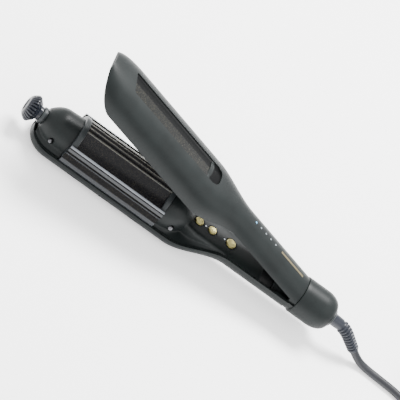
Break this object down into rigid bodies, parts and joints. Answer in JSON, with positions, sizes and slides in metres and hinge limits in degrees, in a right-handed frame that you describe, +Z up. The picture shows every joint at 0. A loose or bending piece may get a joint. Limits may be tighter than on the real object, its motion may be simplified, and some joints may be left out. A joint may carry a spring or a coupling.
{
  "type": "hair crimper",
  "caption": "Hair crimper with a slotted heated hood hinged over a lower arm that holds a turning, three-profile heated drum, with push buttons and a lead",
  "frame": {"origin": "on the table, under the middle of the tool without its lead", "axes": "+Z up, the knob end towards -X, the lead leaves towards +X"},
  "size_m": [0.5993, 0.069, 0.121],
  "materials": {
    "shell": "soft-touch charcoal moulding",
    "cover": "satin charcoal moulding",
    "ceramic": "black speckled ceramic coat on aluminium",
    "collar": "mid-grey heat-resistant moulding",
    "rail": "pale grey heat-resistant moulding",
    "knob": "glossy blue-black moulding",
    "gold": "pale champagne gold",
    "steel": "bright steel",
    "bronze": "sintered bronze",
    "aluminium": "turned",
    "heater": "polyimide-wrapped ceramic heater",
    "board": "glass-fibre board",
    "switch": "black moulding",
    "white_light": "clear white lens",
    "blue_light": "clear blue lens",
    "rubber": "blue-black flexible moulding",
    "cable": "black flexible sheath"
  },
  "bodies": {
    "base": {"lower_shell": "shell", "tip_cover": "cover", "control_cover": "cover", "rail_left": "rail", "rail_right": "rail", "cover_screws": "steel", "front_bearing": "bronze", "rear_bearing": "bronze", "detent_spring": "steel", "hinge_frame": "switch", "hinge_pin": "steel", "arm_spring": "steel", "control_board": "board", "switches": "switch", "panel_lights": "white_light", "thermal_fuse": "aluminium", "end_cap": "shell", "end_ring": "rubber", "strain_relief": "rubber", "cord": "cable", "cord_hank": "cable", "cord_tie": "rubber", "cord_tail": "cable", "plug": "rubber", "plug_pins": "steel"},
    "hood": {"upper_shell": "shell", "plate_left": "ceramic", "plate_right": "ceramic", "plate_rim_front": "collar", "plate_rim_rear": "collar", "slot_screen": "ceramic", "slot_liner": "switch", "plate_frame": "switch", "heater_left": "heater", "heater_right": "heater", "temperature_lights": "blue_light", "light_board": "board", "trim_line": "gold"},
    "drum": {"drum_shaft": "steel", "drum_core": "aluminium", "drum_heaters": "heater", "deep_wave_plate": "ceramic", "crimp_plate": "ceramic", "fine_wave_plate": "ceramic", "drum_collar_front": "collar", "drum_collar_rear": "collar", "knob": "knob", "detent_wheel": "steel"},
    "power": {"power_button": "gold"},
    "raise": {"raise_button": "gold"},
    "lower": {"lower_button": "gold"}
  },
  "joints": [
    {"name": "arm_hinge", "type": "hinge", "parent": "base", "child": "hood", "pos_m": [0.1188, 0, 0.0285], "axis": [0, -1, 0], "range_deg": [0, 16.7], "stiffness_Nm_per_rad": 0.6, "springref_deg": -20.05, "deforming": ["arm_spring"]},
    {"name": "drum_turn", "type": "hinge", "parent": "base", "child": "drum", "pos_m": [-0.0642, 0, 0.023], "axis": [1, 0, 0], "range_deg": [-120, 120], "deforming": ["detent_spring"]},
    {"name": "power_press", "type": "slide", "parent": "base", "child": "power", "axis": [0, 0, -1], "range_m": [0, 0.0008], "stiffness_N_per_m": 800, "springref_m": -0.0008},
    {"name": "raise_press", "type": "slide", "parent": "base", "child": "raise", "axis": [0, 0, -1], "range_m": [0, 0.0008], "stiffness_N_per_m": 800, "springref_m": -0.0008},
    {"name": "lower_press", "type": "slide", "parent": "base", "child": "lower", "axis": [0, 0, -1], "range_m": [0, 0.0008], "stiffness_N_per_m": 800, "springref_m": -0.0008}
  ]
}
